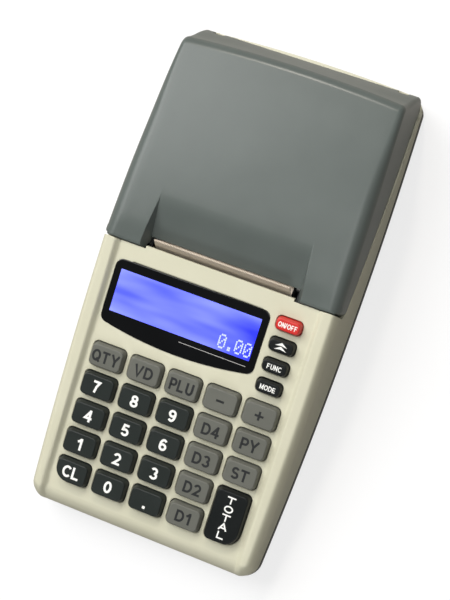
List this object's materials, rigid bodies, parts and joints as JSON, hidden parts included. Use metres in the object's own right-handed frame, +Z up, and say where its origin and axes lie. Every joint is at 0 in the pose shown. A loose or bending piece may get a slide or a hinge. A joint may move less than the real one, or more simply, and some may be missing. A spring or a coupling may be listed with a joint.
{
  "type": "ticket register",
  "caption": "Portable ticket register: wedge-shaped till with a sloping keypad deck, a display window and a thermal receipt printer under a hinged paper cover.",
  "frame": {"origin": "on the table under the middle of the register", "axes": "+X to the right seen from the keyboard, +Y to the rear, +Z up"},
  "size_m": [0.103, 0.207, 0.0474],
  "materials": {
    "housing_cream": "fine-textured moulded ABS, warm gray cream",
    "housing_dark": "fine-textured moulded ABS, near black",
    "cover_gray": "smooth semi-gloss ABS, mid gray",
    "key_dark": "satin moulded plastic, charcoal",
    "key_gray": "satin moulded plastic, mid gray",
    "key_red": "satin moulded plastic, red",
    "window_black": "clear glossy sheet, printed black round the view area",
    "lcd_glass": "liquid crystal cell lit blue",
    "lamp_plate": "white light guide",
    "tear_metal": "pale satin sheet metal",
    "frame_metal": "zinc-plated sheet steel",
    "head_metal": "aluminium heat sink with a ceramic strip",
    "steel": "plain bright steel",
    "rubber_black": "black rubber",
    "silicone_gray": "dark gray silicone",
    "board_green": "green soldermask on glass-epoxy board",
    "cable_gray": "gray flat cable",
    "gear_white": "white acetal",
    "pinion_brass": "brass",
    "motor_case": "zinc-plated steel can",
    "paper_white": "smooth white thermal paper",
    "core_card": "pale cardboard",
    "battery_blue": "blue shrink sleeve",
    "connector_black": "black connector plastic"
  },
  "bodies": {
    "housing": {"upper_housing": "housing_cream", "lower_housing": "housing_dark", "hinge_pins": "steel", "tear_bar": "tear_metal", "display_window": "window_black", "lcd_module": "lcd_glass", "lcd_backlight": "lamp_plate", "keypad_mat": "silicone_gray", "keypad_board": "board_green", "main_board": "board_green", "port_board": "board_green", "ribbon_cable": "cable_gray", "printer_frame": "frame_metal", "print_head": "head_metal", "stepper_motor": "motor_case", "battery_pack": "battery_blue", "rubber_feet": "rubber_black", "housing_screws": "steel", "board_screws": "steel", "power_jack": "connector_black", "serial_port": "connector_black", "buzzer": "connector_black", "fiscal_memory": "connector_black"},
    "cover": {"paper_cover": "cover_gray"},
    "platen": {"platen_shaft": "steel", "platen_rubber": "rubber_black", "platen_gear": "gear_white"},
    "idler": {"idler_gear": "gear_white"},
    "pinion": {"motor_pinion": "pinion_brass"},
    "roll": {"paper_roll": "paper_white", "paper_core": "core_card"},
    "door": {"battery_door": "housing_dark"},
    "key_qty_body": {"key_qty": "key_gray"},
    "key_vd_body": {"key_vd": "key_gray"},
    "key_plu_body": {"key_plu": "key_gray"},
    "key_minus_body": {"key_minus": "key_gray"},
    "key_plus_body": {"key_plus": "key_gray"},
    "key_7_body": {"key_7": "key_dark"},
    "key_8_body": {"key_8": "key_dark"},
    "key_9_body": {"key_9": "key_dark"},
    "key_d4_body": {"key_d4": "key_gray"},
    "key_py_body": {"key_py": "key_gray"},
    "key_4_body": {"key_4": "key_dark"},
    "key_5_body": {"key_5": "key_dark"},
    "key_6_body": {"key_6": "key_dark"},
    "key_d3_body": {"key_d3": "key_gray"},
    "key_st_body": {"key_st": "key_gray"},
    "key_1_body": {"key_1": "key_dark"},
    "key_2_body": {"key_2": "key_dark"},
    "key_3_body": {"key_3": "key_dark"},
    "key_d2_body": {"key_d2": "key_gray"},
    "key_total_body": {"key_total": "key_dark"},
    "key_cl_body": {"key_cl": "key_dark"},
    "key_0_body": {"key_0": "key_dark"},
    "key_point_body": {"key_point": "key_dark"},
    "key_d1_body": {"key_d1": "key_gray"},
    "key_on_off_body": {"key_on_off": "key_red"},
    "key_feed_body": {"key_feed": "key_dark"},
    "key_func_body": {"key_func": "key_dark"},
    "key_mode_body": {"key_mode": "key_dark"}
  },
  "joints": [
    {"name": "cover_hinge", "type": "hinge", "parent": "housing", "child": "cover", "pos_m": [0, 0.0964, 0.017], "axis": [-1, 0, 0], "range_deg": [0, 100]},
    {"name": "key_qty_press", "type": "slide", "parent": "housing", "child": "key_qty_body", "axis": [0, 0.2079, -0.9781], "range_m": [0, 0.0012], "stiffness_N_per_m": 250, "springref_m": -0.0008},
    {"name": "key_vd_press", "type": "slide", "parent": "housing", "child": "key_vd_body", "axis": [0, 0.2079, -0.9781], "range_m": [0, 0.0012], "stiffness_N_per_m": 250, "springref_m": -0.0008},
    {"name": "key_plu_press", "type": "slide", "parent": "housing", "child": "key_plu_body", "axis": [0, 0.2079, -0.9781], "range_m": [0, 0.0012], "stiffness_N_per_m": 250, "springref_m": -0.0008},
    {"name": "key_minus_press", "type": "slide", "parent": "housing", "child": "key_minus_body", "axis": [0, 0.2079, -0.9781], "range_m": [0, 0.0012], "stiffness_N_per_m": 250, "springref_m": -0.0008},
    {"name": "key_plus_press", "type": "slide", "parent": "housing", "child": "key_plus_body", "axis": [0, 0.2079, -0.9781], "range_m": [0, 0.0012], "stiffness_N_per_m": 250, "springref_m": -0.0008},
    {"name": "key_7_press", "type": "slide", "parent": "housing", "child": "key_7_body", "axis": [0, 0.2079, -0.9781], "range_m": [0, 0.0012], "stiffness_N_per_m": 250, "springref_m": -0.0008},
    {"name": "key_8_press", "type": "slide", "parent": "housing", "child": "key_8_body", "axis": [0, 0.2079, -0.9781], "range_m": [0, 0.0012], "stiffness_N_per_m": 250, "springref_m": -0.0008},
    {"name": "key_9_press", "type": "slide", "parent": "housing", "child": "key_9_body", "axis": [0, 0.2079, -0.9781], "range_m": [0, 0.0012], "stiffness_N_per_m": 250, "springref_m": -0.0008},
    {"name": "key_d4_press", "type": "slide", "parent": "housing", "child": "key_d4_body", "axis": [0, 0.2079, -0.9781], "range_m": [0, 0.0012], "stiffness_N_per_m": 250, "springref_m": -0.0008},
    {"name": "key_py_press", "type": "slide", "parent": "housing", "child": "key_py_body", "axis": [0, 0.2079, -0.9781], "range_m": [0, 0.0012], "stiffness_N_per_m": 250, "springref_m": -0.0008},
    {"name": "key_4_press", "type": "slide", "parent": "housing", "child": "key_4_body", "axis": [0, 0.2079, -0.9781], "range_m": [0, 0.0012], "stiffness_N_per_m": 250, "springref_m": -0.0008},
    {"name": "key_5_press", "type": "slide", "parent": "housing", "child": "key_5_body", "axis": [0, 0.2079, -0.9781], "range_m": [0, 0.0012], "stiffness_N_per_m": 250, "springref_m": -0.0008},
    {"name": "key_6_press", "type": "slide", "parent": "housing", "child": "key_6_body", "axis": [0, 0.2079, -0.9781], "range_m": [0, 0.0012], "stiffness_N_per_m": 250, "springref_m": -0.0008},
    {"name": "key_d3_press", "type": "slide", "parent": "housing", "child": "key_d3_body", "axis": [0, 0.2079, -0.9781], "range_m": [0, 0.0012], "stiffness_N_per_m": 250, "springref_m": -0.0008},
    {"name": "key_st_press", "type": "slide", "parent": "housing", "child": "key_st_body", "axis": [0, 0.2079, -0.9781], "range_m": [0, 0.0012], "stiffness_N_per_m": 250, "springref_m": -0.0008},
    {"name": "key_1_press", "type": "slide", "parent": "housing", "child": "key_1_body", "axis": [0, 0.2079, -0.9781], "range_m": [0, 0.0012], "stiffness_N_per_m": 250, "springref_m": -0.0008},
    {"name": "key_2_press", "type": "slide", "parent": "housing", "child": "key_2_body", "axis": [0, 0.2079, -0.9781], "range_m": [0, 0.0012], "stiffness_N_per_m": 250, "springref_m": -0.0008},
    {"name": "key_3_press", "type": "slide", "parent": "housing", "child": "key_3_body", "axis": [0, 0.2079, -0.9781], "range_m": [0, 0.0012], "stiffness_N_per_m": 250, "springref_m": -0.0008},
    {"name": "key_d2_press", "type": "slide", "parent": "housing", "child": "key_d2_body", "axis": [0, 0.2079, -0.9781], "range_m": [0, 0.0012], "stiffness_N_per_m": 250, "springref_m": -0.0008},
    {"name": "key_total_press", "type": "slide", "parent": "housing", "child": "key_total_body", "axis": [0, 0.2079, -0.9781], "range_m": [0, 0.0012], "stiffness_N_per_m": 250, "springref_m": -0.0008},
    {"name": "key_cl_press", "type": "slide", "parent": "housing", "child": "key_cl_body", "axis": [0, 0.2079, -0.9781], "range_m": [0, 0.0012], "stiffness_N_per_m": 250, "springref_m": -0.0008},
    {"name": "key_0_press", "type": "slide", "parent": "housing", "child": "key_0_body", "axis": [0, 0.2079, -0.9781], "range_m": [0, 0.0012], "stiffness_N_per_m": 250, "springref_m": -0.0008},
    {"name": "key_point_press", "type": "slide", "parent": "housing", "child": "key_point_body", "axis": [0, 0.2079, -0.9781], "range_m": [0, 0.0012], "stiffness_N_per_m": 250, "springref_m": -0.0008},
    {"name": "key_d1_press", "type": "slide", "parent": "housing", "child": "key_d1_body", "axis": [0, 0.2079, -0.9781], "range_m": [0, 0.0012], "stiffness_N_per_m": 250, "springref_m": -0.0008},
    {"name": "key_on_off_press", "type": "slide", "parent": "housing", "child": "key_on_off_body", "axis": [0, 0.2079, -0.9781], "range_m": [0, 0.0012], "stiffness_N_per_m": 250, "springref_m": -0.0008},
    {"name": "key_feed_press", "type": "slide", "parent": "housing", "child": "key_feed_body", "axis": [0, 0.2079, -0.9781], "range_m": [0, 0.0012], "stiffness_N_per_m": 250, "springref_m": -0.0008},
    {"name": "key_func_press", "type": "slide", "parent": "housing", "child": "key_func_body", "axis": [0, 0.2079, -0.9781], "range_m": [0, 0.0012], "stiffness_N_per_m": 250, "springref_m": -0.0008},
    {"name": "key_mode_press", "type": "slide", "parent": "housing", "child": "key_mode_body", "axis": [0, 0.2079, -0.9781], "range_m": [0, 0.0012], "stiffness_N_per_m": 250, "springref_m": -0.0008},
    {"name": "platen_spin", "type": "hinge", "parent": "housing", "child": "platen", "pos_m": [0, 0.0116, 0.031], "axis": [1, 0, 0], "continuous": true},
    {"name": "idler_spin", "type": "hinge", "parent": "housing", "child": "idler", "pos_m": [0, 0.01727, 0.02216], "axis": [1, 0, 0], "continuous": true},
    {"name": "pinion_spin", "type": "hinge", "parent": "housing", "child": "pinion", "pos_m": [0, 0.013, 0.016], "axis": [1, 0, 0], "continuous": true},
    {"name": "roll_spin", "type": "hinge", "parent": "housing", "child": "roll", "pos_m": [0, 0.062, 0.024], "axis": [1, 0, 0], "continuous": true},
    {"name": "door_tilt", "type": "hinge", "parent": "housing", "child": "door", "pos_m": [0, -0.0474, 0.0022], "axis": [-1, 0, 0], "range_deg": [0, 80]}
  ],
  "couplings": [
    {"joint": "idler_spin", "follows": "platen_spin", "ratio": -1.3333},
    {"joint": "pinion_spin", "follows": "platen_spin", "ratio": 2}
  ]
}
